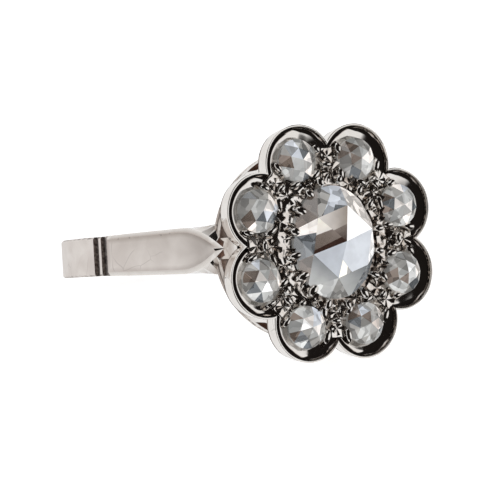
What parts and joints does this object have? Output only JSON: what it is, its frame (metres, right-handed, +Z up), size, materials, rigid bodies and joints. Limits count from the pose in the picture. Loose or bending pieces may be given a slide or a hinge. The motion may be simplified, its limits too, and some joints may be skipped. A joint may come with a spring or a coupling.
{
  "type": "daisy cluster ring",
  "caption": "Daisy cluster finger ring: a large oval rose-cut stone in a ring of small ones, in a scalloped pierced head on leaf-shaped shoulders and a plain flat band.",
  "frame": {"origin": "middle of the bounding box's bottom, on the surface that the ring lies on", "axes": "the ring lies on its side: +Z is up, -Y is where the head faces (raised 14.0 degrees), and X runs from shoulder to shoulder"},
  "size_m": [0.0196, 0.0241, 0.0131],
  "materials": {
    "white_gold": "polished white gold with fine wear scratches, engraved between the grains",
    "diamond": "clear rose-cut stone with flat polished facets"
  },
  "bodies": {
    "root": {"ring_body": "white_gold", "center_stone": "diamond", "petal_stone_1": "diamond", "petal_stone_2": "diamond", "petal_stone_3": "diamond", "petal_stone_4": "diamond", "petal_stone_5": "diamond", "petal_stone_6": "diamond", "petal_stone_7": "diamond", "petal_stone_8": "diamond"}
  },
  "joints": []
}
